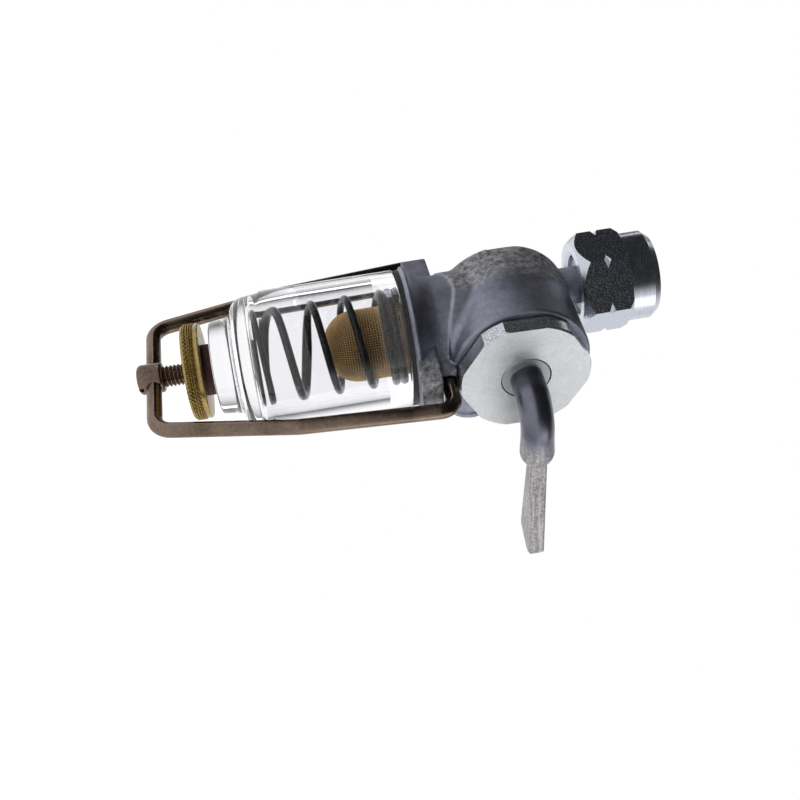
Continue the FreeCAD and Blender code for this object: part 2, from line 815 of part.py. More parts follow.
# ---------------------------------------------------------------------------------------------
# Inlet
# ---------------------------------------------------------------------------------------------
def make_union_nut():
    """Turnbuckle nut: left-hand thread below, right-hand thread in the round collar."""
    body = new_body("union_nut")
    hexagon_sketch = new_sketch(body, "hexagon_sketch", "XY_Plane", dim.nut_start)
    outline(hexagon_sketch, hexagon(dim.nut_flats, 27.0))
    extrude(body, "hexagon", hexagon_sketch, dim.nut_shoulder - dim.nut_start)
    rod(body, "collar", "XY_Plane", 0.0, 0.0, dim.nut_collar, dim.nut_shoulder,
        dim.nut_end - dim.nut_shoulder)
    tips = dim.nut_flats * (1.0 / math.sqrt(3.0))
    low = dim.nut_start
    revolve(body, "lower_chamfer", [
        (dim.nut_collar - 0.6, low - 0.2),
        (tips + 1.0, low - 0.2),
        (tips + 1.0, low + 3.4),
        (tips - 0.1, low + 2.6),
    ], cut=True)
    revolve(body, "upper_chamfer", [
        (tips - 1.2, dim.nut_shoulder + 0.2),
        (tips + 1.0, dim.nut_shoulder + 0.2),
        (tips + 1.0, dim.nut_shoulder - 1.6),
        (tips - 0.1, dim.nut_shoulder - 1.2),
    ], cut=True)
    revolve(body, "notch", [
        (dim.nut_collar + 0.9, dim.nut_notch),
        (tips + 0.4, dim.nut_notch - 1.3),
        (tips + 0.4, dim.nut_notch + 1.3),
    ], cut=True)
    revolve(body, "end_chamfer", [
        (dim.nut_collar - 1.5, dim.nut_end + 0.2),
        (dim.nut_collar + 1.0, dim.nut_end + 0.2),
        (dim.nut_collar + 1.0, dim.nut_end - 1.8),
        (dim.nut_collar, dim.nut_end - 1.8),
    ], cut=True)
    revolve(body, "thread_bore", [
        (0.0, low - 1.0),
        (dim.nut_mouth + 1.0, low - 1.0),
        (dim.nut_bore, low + 0.9),
        (dim.nut_bore, dim.nut_relief_low),
        (dim.nut_relief, dim.nut_relief_low),
        (dim.nut_relief, dim.nut_relief_high),
        (dim.nut_bore, dim.nut_relief_high),
        (dim.nut_bore, dim.nut_end - 0.9),
        (dim.nut_mouth + 1.0, dim.nut_end + 1.0),
        (0.0, dim.nut_end + 1.0),
    ], cut=True)
    return body


def make_inlet_stub():
    """Sleeve pressed on the neck's tip, with the left-hand thread."""
    body = new_body("inlet_stub")
    revolve(body, "sleeve", [
        (dim.tip_radius, dim.inlet_shoulder),
        (dim.stub_radius - 0.8, dim.inlet_shoulder),
        (dim.stub_radius, dim.inlet_shoulder + 0.8),
        (dim.stub_radius, dim.stub_end - 0.8),
        (dim.stub_radius - 0.8, dim.stub_end),
        (dim.tip_radius, dim.stub_end),
    ])
    return body


# ---------------------------------------------------------------------------------------------
# Glass bowl and strainer
# ---------------------------------------------------------------------------------------------
def make_glass_bowl():
    body = new_body("glass_bowl")
    lip = dim.glass_radius
    round_inside = 1.6
    revolve(body, "bowl", [
        (0.0, -dim.foot_end),
        (dim.foot_radius - 1.2, -dim.foot_end, 0.9),
        (dim.foot_radius - 0.3, -dim.foot_end + 0.9),
        (dim.foot_radius + 0.2, -dim.foot_top, -1.0),
        (dim.foot_radius + 1.1, -dim.foot_top + 0.8),
        (dim.foot_radius + 1.7, -dim.foot_top + 0.9, 4.4),
        (lip - 0.8, -dim.glass_shoulder - 4.0),
        (lip - 0.4, -dim.glass_shoulder - 0.6),
        (lip, -dim.glass_shoulder),
        (lip, -dim.glass_mouth - 0.5),
        (lip - 0.5, -dim.glass_mouth),
        (dim.glass_bore + 0.4, -dim.glass_mouth),
        (dim.glass_bore, -dim.glass_mouth - 0.4),
        (dim.glass_bore, -dim.bowl_floor + round_inside, -round_inside),
        (dim.glass_bore - round_inside, -dim.bowl_floor),
        (0.0, -dim.bowl_floor),
    ])
    return body


def make_strainer_gauze():
    """Closed sock of wire cloth."""
    body = new_body("strainer_gauze")
    outer = dim.gauze_radius
    inner = outer - dim.gauze_wall
    bend = dim.gauze_round
    end = -dim.gauze_end
    brim = -(dim.glass_mouth + 0.1)
    revolve(body, "sock", [
        (0.0, end),
        (outer - bend, end, bend),
        (outer, end + bend),
        (outer, brim),
        (inner, brim),
        (inner, end + bend, -(bend - dim.gauze_wall)),
        (outer - bend, end + dim.gauze_wall),
        (0.0, end + dim.gauze_wall),
    ])
    return body


def make_strainer_ferrule():
    """Pressed collar that carries the gauze and seats on the flange face."""
    body = new_body("strainer_ferrule")
    face = -dim.flange_face
    tube = dim.gauze_radius - dim.gauze_wall
    revolve(body, "collar", [
        (dim.ferrule_bore, face - dim.ferrule_length),
        (tube, face - dim.ferrule_length),
        (tube, face - dim.ferrule_flange),
        (dim.ferrule_radius, face - dim.ferrule_flange),
        (dim.ferrule_radius, face),
        (dim.ferrule_bore, face),
    ])
    return body


# ---------------------------------------------------------------------------------------------
# Bail, screw, thumb nut and pad
# ---------------------------------------------------------------------------------------------
def rounded_path(corners):
    """Wire through corner points (y, z, bend radius) in the YZ plane, each corner an arc."""
    edges = []
    places = [Vector(0, y, z) for y, z, bend in corners]
    last = places[0]
    for index in range(1, len(corners) - 1):
        corner = places[index]
        back = (places[index - 1] - corner).normalize()
        ahead = (places[index + 1] - corner).normalize()
        half_angle = back.getAngle(ahead) / 2
        bend = corners[index][2]
        trim = bend / math.tan(half_angle)
        inward = (back + ahead).normalize()
        centre = corner + inward * (bend / math.sin(half_angle))
        arc_start = corner + back * trim
        arc_end = corner + ahead * trim
        edges.append(Part.LineSegment(last, arc_start).toShape())
        edges.append(Part.Arc(arc_start, centre - inward * bend, arc_end).toShape())
        last = arc_end
    edges.append(Part.LineSegment(last, places[-1]).toShape())
    return Part.Wire(edges)


def make_bail_wire():
    """One bent wire: hook, leg, bottom bar, leg, hook."""
    side = [
        (number(dim.hook_inner), -number(dim.hook_height), 0.0),
        (number(dim.hook_reach), -number(dim.hook_height), number(dim.hook_bend)),
        (number(dim.knee_reach), -number(dim.knee_height), number(dim.knee_bend)),
        (number(dim.bar_reach), -number(dim.bar_height), number(dim.corner_bend)),
    ]
    mirrored = [(-y, z, bend) for y, z, bend in reversed(side)]
    path = rounded_path(side + mirrored)
    section = Part.Wire(Part.makeCircle(
        number(dim.wire_radius), Vector(0, side[0][0], side[0][1]), Vector(0, 1, 0)))
    feature = doc.addObject("Part::Feature", "bail_wire")
    feature.Label = "bail_wire"
    feature.Shape = path.makePipeShell([section], True, False).Solids[0]
    return feature


def make_bail_screw():
    """Screw whose head is cross-drilled for the bail's bottom bar."""
    body = new_body("bail_screw")
    revolve(body, "turning", [
        (0.0, -dim.head_end),
        (dim.head_radius - 0.8, -dim.head_end),
        (dim.head_radius, -dim.head_end + 0.8),
        (dim.head_radius, -dim.head_start - 0.4),
        (dim.head_radius - 0.4, -dim.head_start),
        (dim.screw_radius, -dim.head_start),
        (dim.screw_radius, -dim.screw_tip - 0.7),
        (dim.screw_radius - 0.7, -dim.screw_tip),
        (0.0, -dim.screw_tip),
    ])
    rod(body, "bar_hole", "XZ_Plane", 0.0, -dim.bar_height, dim.wire_radius,
        None, dim.head_radius * 2.0 + 2.0, cut=True, middle=True)
    slot = new_sketch(body, "slot_sketch", "XZ_Plane")
    half = dim.head_slot / 2.0
    low = -dim.head_end
    outline(slot, [(half, low - 1.0), (half, low + 1.5), (-half, low + 1.5), (-half, low - 1.0)])
    extrude(body, "slot", slot, dim.head_radius * 2.0 + 2.0, middle=True, cut=True)
    return body


def make_thumb_nut():
    """Round nut with a knurled rim and a smooth lip towards the glass."""
    body = new_body("thumb_nut")
    low = -dim.thumb_end
    high = -dim.thumb_start
    rim = dim.thumb_radius
    revolve(body, "turning", [
        (dim.thumb_bore, low),
        (rim - 0.6, low),
        (rim, low + 0.6),
        (rim, high - 1.4),
        (rim - 0.4, high - 1.2),
        (rim - 0.4, high - 0.4),
        (rim - 0.8, high),
        (dim.thumb_bore, high),
    ])
    return body


# ---------------------------------------------------------------------------------------------
# The assembly
# ---------------------------------------------------------------------------------------------
cap_back = dim.drum_front + dim.gasket_gap
on_inlet = [
    make_union_nut(),
    make_inlet_stub(),
    make_ring("inlet_washer", "XZ_Plane", dim.washer_bore, dim.washer_radius,
              dim.stub_end, dim.seat_height),
]
on_centre = [
    make_valve_body(),
    make_cap_nut(),
    make_ring("cap_gasket", "XY_Plane", dim.mouth_radius + 0.1, dim.cap_flats / 2.0 - 0.3,
              -cap_back, -dim.drum_front),
    make_lever(),
    make_ring("thrust_washer", "XY_Plane", dim.stem_radius + 0.1, dim.collar_radius,
              -cap_back, -collar_front()),
    make_drive_pin(),
    make_rotor(),
    make_rotor_spring(),
    make_rotor_seat(),
    make_ring("bowl_gasket", "XZ_Plane", dim.gasket_bore, dim.glass_radius - 0.2,
              -dim.glass_mouth, -dim.flange_face),
    make_glass_bowl(),
    make_strainer_gauze(),
    make_strainer_ferrule(),
    make_strainer_spring(),
    make_bail_wire(),
    make_bail_screw(),
    make_thumb_nut(),
    make_ring("pressure_pad", "XZ_Plane", dim.pad_bore, dim.pad_radius,
              -dim.thumb_start, -dim.foot_end),
]
seal_depth = cap_face() - 2.2
stem_seal = make_torus("stem_seal", dim.stem_radius - 0.55, 0.62, -seal_depth)

for piece in on_inlet:
    piece.setExpression("Placement.Base.z", "0 - dimensions.seat_height")
for piece in on_centre:
    piece.setExpression("Placement.Base.y", "0 - dimensions.inlet_offset")
    piece.setExpression("Placement.Base.z", "0 - dimensions.seat_height")
# The strainer's spring stands loose in the bowl, a little off its axis.
strainer_spring = doc.getObject("strainer_spring")
strainer_spring.setExpression("Placement.Base.x", "0 - dimensions.spring_shift")
strainer_spring.setExpression("Placement.Base.y", (dim.spring_shift - dim.inlet_offset).text)
stem_seal.setExpression("Placement.Base.y", (-seal_depth - dim.inlet_offset).text)
stem_seal.setExpression("Placement.Base.z", "0 - dimensions.seat_height")
doc.recompute()

pieces = on_inlet + on_centre + [stem_seal]
for thing in doc.Objects:
    if "Invalid" in thing.State or "Error" in thing.State:
        raise RuntimeError("%s does not compute: %s" % (thing.Name, thing.State))
for piece in pieces:
    if piece.Shape.isNull() or not piece.Shape.isValid() or len(piece.Shape.Solids) != 1:
        raise RuntimeError(piece.Label + " is not one valid solid")
    piece.Shape.exportStep("parts/%s.step" % piece.Label)
    box = piece.Shape.BoundBox
    print("%-18s %8.1f mm3  x %6.1f..%6.1f  y %6.1f..%6.1f  z %7.1f..%6.1f" % (
        piece.Label, piece.Shape.Volume, box.XMin, box.XMax, box.YMin, box.YMax,
        box.ZMin, box.ZMax))
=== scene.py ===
import math

import bmesh
import bpy
from mathutils import Matrix, Vector


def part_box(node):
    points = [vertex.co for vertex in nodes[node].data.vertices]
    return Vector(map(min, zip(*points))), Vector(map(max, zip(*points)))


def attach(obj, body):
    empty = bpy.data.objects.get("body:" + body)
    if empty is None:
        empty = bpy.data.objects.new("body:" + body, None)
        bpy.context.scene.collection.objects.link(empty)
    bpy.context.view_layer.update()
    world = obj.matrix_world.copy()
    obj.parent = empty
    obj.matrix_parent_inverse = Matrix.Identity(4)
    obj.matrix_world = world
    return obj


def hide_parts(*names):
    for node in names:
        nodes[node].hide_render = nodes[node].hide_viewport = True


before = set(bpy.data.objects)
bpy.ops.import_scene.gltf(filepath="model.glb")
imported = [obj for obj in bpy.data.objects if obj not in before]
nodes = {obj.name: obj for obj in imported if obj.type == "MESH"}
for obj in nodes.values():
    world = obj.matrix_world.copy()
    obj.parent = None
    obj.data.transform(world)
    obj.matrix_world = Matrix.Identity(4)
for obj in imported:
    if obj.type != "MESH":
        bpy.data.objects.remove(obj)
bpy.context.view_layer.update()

MM = 0.001

# ---------------------------------------------------------------------------------------------
# Places read from the imported model, and two given offsets where finishes change
# ---------------------------------------------------------------------------------------------
def low_high(node):
    low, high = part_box(node)
    return Vector(low), Vector(high)


bowl_low, bowl_high = low_high("glass_bowl")
cap_low, cap_high = low_high("cap_nut")
bowl_axis = Vector((0.0, (bowl_low.y + bowl_high.y) / 2, 0.0))
cap_axis = Vector(((cap_low.x + cap_high.x) / 2, 0.0, (cap_low.z + cap_high.z) / 2))
valve_centre = Vector((0.0, bowl_axis.y, cap_axis.z))

# Where a surface changes its finish: along X on the lever, along Z on the union nut.
LEVER_SHOULDER = 17.6 * MM
NUT_COLLAR = 8.2 * MM
hex_top = low_high("union_nut")[1].z - NUT_COLLAR


# ---------------------------------------------------------------------------------------------
# Camera: rolled so that the bowl lies to the left, looking at the lever and the cap
# ---------------------------------------------------------------------------------------------
SENSOR_WIDTH = 36.0
FOCAL_LENGTH = 51.12
CAMERA_RIGHT = Vector((0.06716, -0.16221, 0.98447))
CAMERA_UP = Vector((-0.70036, 0.69510, 0.16231))
CAMERA_PLACE = Vector((-201.93, -221.41, -51.48)) * MM


def make_camera():
    """Add the camera, and return the picture's right, up and back directions."""
    data = bpy.data.cameras.new("camera")
    camera = bpy.data.objects.new("camera", data)
    bpy.context.scene.collection.objects.link(camera)
    bpy.context.scene.camera = camera
    data.sensor_width = SENSOR_WIDTH
    data.lens = FOCAL_LENGTH
    data.clip_start = 0.01
    data.clip_end = 20.0
    back = CAMERA_RIGHT.cross(CAMERA_UP).normalized()
    right = CAMERA_UP.cross(back).normalized()
    rotation = Matrix((right, CAMERA_UP, back)).transposed()
    place = Matrix.Translation(valve_centre + CAMERA_PLACE)
    camera.matrix_world = place @ rotation.to_4x4()
    return right, CAMERA_UP, back


view_right, view_up, view_back = make_camera()


# ---------------------------------------------------------------------------------------------
# Material building
# ---------------------------------------------------------------------------------------------
class Shade:
    """A node material with helpers for building it."""

    def __init__(self, name):
        self.material = bpy.data.materials.new(name)
        self.material.use_nodes = True
        self.tree = self.material.node_tree
        self.tree.nodes.clear()
        self.out = self.add("ShaderNodeOutputMaterial")
        self.bsdf = self.add("ShaderNodeBsdfPrincipled")
        self.link(self.bsdf.outputs["BSDF"], self.out.inputs["Surface"])
        self.where = self.add("ShaderNodeTexCoord").outputs["Object"]

    def add(self, kind, **values):
        node = self.tree.nodes.new(kind)
        for key, value in values.items():
            setattr(node, key, value)
        return node

    def link(self, source, target):
        self.tree.links.new(source, target)

    def set(self, **values):
        for key, value in values.items():
            self.bsdf.inputs[key.replace("_", " ")].default_value = value

    def feed(self, socket, source):
        self.link(source, self.bsdf.inputs[socket])

    def scaled(self, x, y, z):
        """Coordinates stretched along each axis, for streaks and turned lines."""
        node = self.add("ShaderNodeMapping")
        node.inputs["Scale"].default_value = (x, y, z)
        self.link(self.where, node.inputs["Vector"])
        return node.outputs["Vector"]

    def noise(self, vector, scale, detail, rough):
        node = self.add("ShaderNodeTexNoise")
        node.inputs["Scale"].default_value = scale
        node.inputs["Detail"].default_value = detail
        node.inputs["Roughness"].default_value = rough
        self.link(vector, node.inputs["Vector"])
        return node.outputs["Fac"]

    def voronoi(self, vector, scale):
        """Distance to the nearest of many scattered points."""
        node = self.add("ShaderNodeTexVoronoi")
        node.inputs["Scale"].default_value = scale
        self.link(vector, node.inputs["Vector"])
        return node.outputs["Distance"]

    def span(self, source, low, high, to_low=0.0, to_high=1.0):
        """A value carried from one range to another, and held at both ends."""
        node = self.add("ShaderNodeMapRange")
        node.inputs["From Min"].default_value = low
        node.inputs["From Max"].default_value = high
        node.inputs["To Min"].default_value = to_low
        node.inputs["To Max"].default_value = to_high
        self.link(source, node.inputs["Value"])
        return node.outputs["Result"]

    def math(self, operation, first, second=None, third=None):
        node = self.add("ShaderNodeMath", operation=operation)
        for index, value in enumerate((first, second, third)):
            if value is None:
                continue
            if isinstance(value, (int, float)):
                node.inputs[index].default_value = value
            else:
                self.link(value, node.inputs[index])
        return node.outputs["Value"]

    def mix(self, share, first, second):
        """Two colours or sockets mixed by a share from 0 to 1."""
        node = self.add("ShaderNodeMix", data_type="RGBA")
        for socket, value in ((0, share), (6, first), (7, second)):
            if isinstance(value, (int, float)):
                node.inputs[socket].default_value = value
            elif isinstance(value, tuple):
                node.inputs[socket].default_value = value + (1.0,)
            else:
                self.link(value, node.inputs[socket])
        return node.outputs[2]

    def bump(self, height, strength, distance):
        node = self.add("ShaderNodeBump")
        node.inputs["Strength"].default_value = strength
        node.inputs["Distance"].default_value = distance
        self.link(height, node.inputs["Height"])
        return node.outputs["Normal"]

    def coordinate(self, axis):
        """The object coordinate along X, Y or Z."""
        node = self.add("ShaderNodeSeparateXYZ")
        self.link(self.where, node.inputs["Vector"])
        return node.outputs[axis]

    def facing(self, axis):
        """How far the surface faces along an axis, from -1 to 1."""
        geometry = self.add("ShaderNodeNewGeometry")
        node = self.add("ShaderNodeVectorMath", operation="DOT_PRODUCT")
        self.link(geometry.outputs["Normal"], node.inputs[0])
        node.inputs[1].default_value = axis
        return node.outputs["Value"]

    def radius_from(self, centre, axis):
        """Distance from an axis through centre, along X, Y or Z."""
        shift = self.add("ShaderNodeVectorMath", operation="SUBTRACT")
        self.link(self.where, shift.inputs[0])
        shift.inputs[1].default_value = centre
        flat = self.add("ShaderNodeVectorMath", operation="MULTIPLY")
        self.link(shift.outputs[0], flat.inputs[0])
        flat.inputs[1].default_value = tuple(0.0 if "XYZ"[k] == axis else 1.0 for k in range(3))
        length = self.add("ShaderNodeVectorMath", operation="LENGTH")
        self.link(flat.outputs[0], length.inputs[0])
        return length.outputs["Value"]


def paint(piece, shade):
    piece.data.materials.clear()
    piece.data.materials.append(shade.material)


def metal(name, colour, dark, roughness):
    """Worn metal: slow patches of tone, fine grain and a varying polish."""
    shade = Shade(name)
    slow = shade.noise(shade.where, 90.0, 5.0, 0.6)
    fine = shade.noise(shade.where, 1400.0, 3.0, 0.7)
    both = shade.math("MULTIPLY_ADD", fine, 0.35, shade.math("MULTIPLY", slow, 0.65))
    shade.feed("Base Color", shade.mix(shade.span(both, 0.35, 0.65), dark, colour))
    shade.feed("Roughness", shade.span(slow, 0.3, 0.7, roughness - 0.06, roughness + 0.08))
    shade.set(Metallic=1.0)
    shade.feed("Normal", shade.bump(fine, 0.25, 0.04 * MM))
    return shade


def casting_material():
    """Smooth tumbled metal, with a rough sand skin on the rear of the drum and the front ear."""
    shade = Shade("cast_zinc")
    y, z = shade.coordinate("Y"), shade.coordinate("Z")
    slow = shade.noise(shade.where, 70.0, 4.0, 0.55)
    cloud = shade.noise(shade.where, 190.0, 5.0, 0.65)
    fine = shade.noise(shade.where, 1500.0, 3.0, 0.75)
    grit = shade.noise(shade.where, 620.0, 4.0, 0.8)
    wandering = shade.math("MULTIPLY_ADD", cloud, 10 * MM, y)

    def past(socket, centre, start, end):
        """0 up to start and 1 from end on, both in millimetres from the valve's centre."""
        return shade.span(socket, centre + start * MM, centre + end * MM)

    rear = past(wandering, valve_centre.y, 1.0, 6.0)
    above_shoulder = past(z, valve_centre.z, -16.0, -13.0)
    below_neck = past(z, valve_centre.z, 18.5, 17.0)
    ear_front = past(y, valve_centre.y, -16.5, -19.5)
    ear_height = past(z, valve_centre.z, -16.5, -18.0)
    on_drum = shade.math("MULTIPLY", rear, shade.math("MULTIPLY", above_shoulder, below_neck))
    on_ear = shade.math("MULTIPLY", ear_front, ear_height)
    rough_skin = shade.math("MAXIMUM", on_drum, on_ear)
    cast_tone = shade.math("MULTIPLY_ADD", grit, 0.40, shade.math("MULTIPLY", slow, 0.60))
    smooth = shade.mix(shade.span(cast_tone, 0.38, 0.62),
                       (0.165, 0.17, 0.215), (0.32, 0.325, 0.385))
    skin = shade.mix(shade.span(grit, 0.35, 0.65), (0.13, 0.13, 0.14), (0.58, 0.58, 0.60))
    shade.feed("Base Color", shade.mix(rough_skin, smooth, skin))
    shade.set(Metallic=0.92)
    polish = shade.span(cloud, 0.3, 0.7, 0.46, 0.58)
    shade.feed("Roughness", shade.math("MULTIPLY_ADD", rough_skin, 0.25, polish))
    height = shade.math("MULTIPLY_ADD", grit, shade.span(rough_skin, 0.0, 1.0, 0.40, 1.0),
                        shade.math("MULTIPLY", fine, 0.35))
    shade.feed("Normal", shade.bump(height, 0.6, 0.2 * MM))
    return shade


def turned_material(name, centre, axis, bright, dark, roughness):
    """Face turned on a lathe: rings about an axis, faint stains, a few pits and speckled sides."""
    shade = Shade(name)
    radius = shade.radius_from(centre, axis)
    across = tuple(1.0 if "XYZ"[k] == axis else 0.0 for k in range(3))
    fine_pitch = 0.22 * MM
    coarse_pitch = 0.72 * MM
    fine_rings = shade.math("SINE", shade.math("MULTIPLY", radius, 2 * math.pi / fine_pitch))
    wander = shade.noise(shade.where, 260.0, 4.0, 0.6)
    fine = shade.noise(shade.where, 2000.0, 2.0, 0.6)
    coarse_rings = shade.math("SINE", shade.math("MULTIPLY", radius, 2 * math.pi / coarse_pitch))
    banding = shade.math("MULTIPLY", coarse_rings, shade.span(wander, 0.4, 0.7, 0.0, 0.10))
    grains = shade.math("MULTIPLY_ADD", fine, 0.5, shade.math("MULTIPLY", wander, 0.5))
    tone = shade.math("ADD", grains, banding)
    face = shade.span(shade.math("ABSOLUTE", shade.facing(across)), 0.80, 0.92)
    speck = shade.noise(shade.where, 3200.0, 2.0, 0.6)
    side = shade.mix(shade.span(speck, 0.46, 0.64), (0.34, 0.35, 0.39), (0.76, 0.77, 0.80))
    turned = shade.mix(shade.span(tone, 0.35, 0.65), dark, bright)
    shade.feed("Base Color", shade.mix(face, side, turned))
    shade.set(Metallic=0.85)
    polish = shade.span(wander, 0.3, 0.7, roughness - 0.05, roughness + 0.07)
    shade.feed("Roughness", shade.math("MULTIPLY", polish, shade.span(face, 0.0, 1.0, 0.5, 1.0)))
    rings = shade.math("MULTIPLY", shade.math("MULTIPLY", fine_rings, wander), 0.5)
    pits = shade.span(shade.voronoi(shade.where, 330.0), 0.05, 0.11)
    height = shade.math("MULTIPLY", shade.math("MULTIPLY_ADD", pits, 1.2, rings), face)
    shade.feed("Normal", shade.bump(height, 0.45, 0.07 * MM))
    return shade


def lever_material():
    """Polished dark bend, a granular shoulder and a matt blade with lengthwise scratches."""
    shade = Shade("lever_forged")
    x, y = shade.coordinate("X"), shade.coordinate("Y")
    slow = shade.noise(shade.where, 110.0, 4.0, 0.6)
    grain = shade.noise(shade.where, 1100.0, 3.0, 0.8)
    lines = shade.noise(shade.scaled(60.0, 1500.0, 1500.0), 1.0, 3.0, 0.6)
    wandering = shade.math("MULTIPLY_ADD", slow, 4 * MM, x)
    beyond = shade.span(wandering, LEVER_SHOULDER - 9 * MM, LEVER_SHOULDER - 2 * MM)
    dark = shade.mix(shade.span(slow, 0.35, 0.65), (0.075, 0.078, 0.10), (0.155, 0.158, 0.195))
    speckle = shade.math("MULTIPLY_ADD", lines, 0.45, shade.math("MULTIPLY", grain, 0.55))
    matt = shade.mix(shade.span(speckle, 0.40, 0.60), (0.17, 0.16, 0.165), (0.46, 0.44, 0.45))
    flush = shade.span(y, cap_low.y - 0.5 * MM, cap_low.y - 0.2 * MM)
    body = shade.mix(beyond, dark, matt)
    shade.feed("Base Color", shade.mix(flush, body, (0.36, 0.37, 0.38)))
    shade.set(Metallic=0.9)
    polish = shade.math("MULTIPLY_ADD", beyond, 0.22, shade.span(slow, 0.3, 0.7, 0.24, 0.34))
    shade.feed("Roughness", shade.math("MULTIPLY_ADD", flush, 0.25, polish))
    height = shade.math("MULTIPLY", speckle, shade.math("MULTIPLY_ADD", beyond, 0.7, 0.3))
    shade.feed("Normal", shade.bump(height, 0.55, 0.10 * MM))
    return shade


def nut_material():
    """Bright plating: granular on the hexagon, finely turned on the collar above it."""
    shade = Shade("nut_plated")
    z = shade.coordinate("Z")
    collar = shade.span(z, hex_top - 0.3 * MM, hex_top + 0.3 * MM)
    slow = shade.noise(shade.where, 300.0, 4.0, 0.6)
    speck = shade.noise(shade.where, 2600.0, 4.0, 0.65)
    pebbles = shade.noise(shade.where, 1500.0, 3.0, 0.7)
    lines = shade.noise(shade.scaled(90.0, 90.0, 5200.0), 1.0, 3.0, 0.6)
    grains = shade.mix(shade.span(speck, 0.38, 0.62), (0.44, 0.47, 0.54), (0.60, 0.63, 0.69))
    turned = shade.mix(shade.span(lines, 0.35, 0.65), (0.46, 0.48, 0.54), (0.62, 0.64, 0.69))
    shade.feed("Base Color", shade.mix(collar, grains, turned))
    shade.set(Metallic=1.0)
    dull_specks = shade.span(speck, 0.46, 0.68, 0.17, 0.33)
    even = shade.span(slow, 0.3, 0.7, 0.18, 0.26)
    shade.feed("Roughness", shade.mix(collar, dull_specks, even))
    height = shade.math("MULTIPLY", pebbles, shade.span(collar, 0.0, 1.0, 1.0, 0.08))
    height = shade.math("MULTIPLY_ADD", shade.math("MULTIPLY", lines, collar), 0.3, height)
    shade.feed("Normal", shade.bump(height, 0.85, 0.05 * MM))
    return shade


paint(nodes["valve_body"], casting_material())
paint(nodes["cap_nut"], turned_material(
    "cap_turned", tuple(cap_axis), "Y", (0.56, 0.57, 0.58), (0.40, 0.41, 0.42), 0.40))
paint(nodes["union_nut"], nut_material())
paint(nodes["lever"], lever_material())
bronze = metal("bail_bronze", (0.22, 0.163, 0.125), (0.085, 0.06, 0.045), 0.20)
paint(nodes["bail_wire"], bronze)
olive_brass = metal("thumb_brass", (0.46, 0.345, 0.135), (0.17, 0.12, 0.04), 0.28)
spring_shade = metal("spring_black", (0.045, 0.043, 0.044), (0.014, 0.013, 0.014), 0.28)
for name in ("strainer_spring", "rotor_spring"):
    paint(nodes[name], spring_shade)
gauze_shade = metal("gauze", (0.98, 0.70, 0.34), (0.40, 0.26, 0.10), 0.34)
# Dark sheet inside the weave: painted shade seen through the gaps between the wires.
painted_shade_sheet = metal("painted_shade_sheet", (0.17, 0.105, 0.045), (0.06, 0.036, 0.015), 0.55)
paint(nodes["strainer_ferrule"], metal("ferrule", (0.12, 0.10, 0.08), (0.05, 0.045, 0.04), 0.4))
paint(nodes["inlet_stub"], metal("stub", (0.36, 0.36, 0.39), (0.22, 0.22, 0.25), 0.38))
paint(nodes["rotor"], metal("rotor", (0.60, 0.50, 0.28), (0.44, 0.36, 0.2), 0.35))
steel = metal("steel", (0.55, 0.55, 0.56), (0.4, 0.4, 0.41), 0.3)
for name in ("drive_pin", "thrust_washer"):
    paint(nodes[name], steel)


def rubber(name, colour, light):
    """Dull speckled stuff: rubber, fibre or cork."""
    shade = Shade(name)
    speck = shade.noise(shade.where, 900.0, 3.0, 0.7)
    shade.feed("Base Color", shade.mix(shade.span(speck, 0.4, 0.62), colour, light))
    shade.feed("Roughness", shade.span(speck, 0.3, 0.7, 0.55, 0.75))
    shade.feed("Normal", shade.bump(speck, 0.3, 0.05 * MM))
    return shade


black = rubber("rubber_black", (0.012, 0.012, 0.013), (0.03, 0.03, 0.032))
for name in ("cap_gasket", "stem_seal", "bowl_gasket"):
    paint(nodes[name], black)
paint(nodes["inlet_washer"], rubber("fibre_grey", (0.05, 0.05, 0.055), (0.10, 0.10, 0.10)))
paint(nodes["rotor_seat"], rubber("cork", (0.20, 0.12, 0.06), (0.36, 0.24, 0.13)))
paint(nodes["pressure_pad"], rubber("fibre_brown", (0.07, 0.025, 0.02), (0.14, 0.06, 0.05)))


def glass_material():
    """Clear glass with the faint waves of a moulded surface."""
    shade = Shade("clear_glass")
    wave = shade.noise(shade.where, 60.0, 2.0, 0.5)
    shade.set(Base_Color=(0.985, 0.983, 0.996, 1.0), Roughness=0.0, IOR=1.5)
    shade.bsdf.inputs["Transmission Weight"].default_value = 1.0
    shade.feed("Normal", shade.bump(wave, 0.04, 0.4 * MM))
    return shade


# ---------------------------------------------------------------------------------------------
# Detailed pieces that stand for plain nodes, turned about the bowl's axis
# ---------------------------------------------------------------------------------------------
def on_axis(radius, height, angle):
    """A point by its radius and height in millimetres about the bowl's axis."""
    return Vector((bowl_axis.x + radius * MM * math.cos(angle),
                   bowl_axis.y + radius * MM * math.sin(angle),
                   valve_centre.z + height * MM))


def arc(start, end, radius, side, count):
    """Points after start up to end on an arc that bulges to the right (1) or left (-1)."""
    start, end = Vector(start), Vector(end)
    chord = end - start
    normal = Vector((chord.y, -chord.x)).normalized() * side
    centre = (start + end) / 2 - normal * math.sqrt(radius ** 2 - (chord.length / 2) ** 2)
    first, last = start - centre, end - centre
    sweep = math.atan2(first.x * last.y - first.y * last.x, first.dot(last))
    points = []
    for step in range(1, count + 1):
        turn = sweep * step / count
        points.append((
            centre.x + first.x * math.cos(turn) - first.y * math.sin(turn),
            centre.y + first.x * math.sin(turn) + first.y * math.cos(turn)))
    return points


def finish_mesh(builder, name, sharp_angle):
    """Mesh of what was built, shaded smooth apart from edges sharper than the angle."""
    mesh = bpy.data.meshes.new(name)
    bmesh.ops.recalc_face_normals(builder, faces=builder.faces)
    builder.to_mesh(mesh)
    builder.free()
    mesh.shade_smooth()
    if sharp_angle:
        mesh.set_sharp_from_angle(angle=math.radians(sharp_angle))
    return mesh


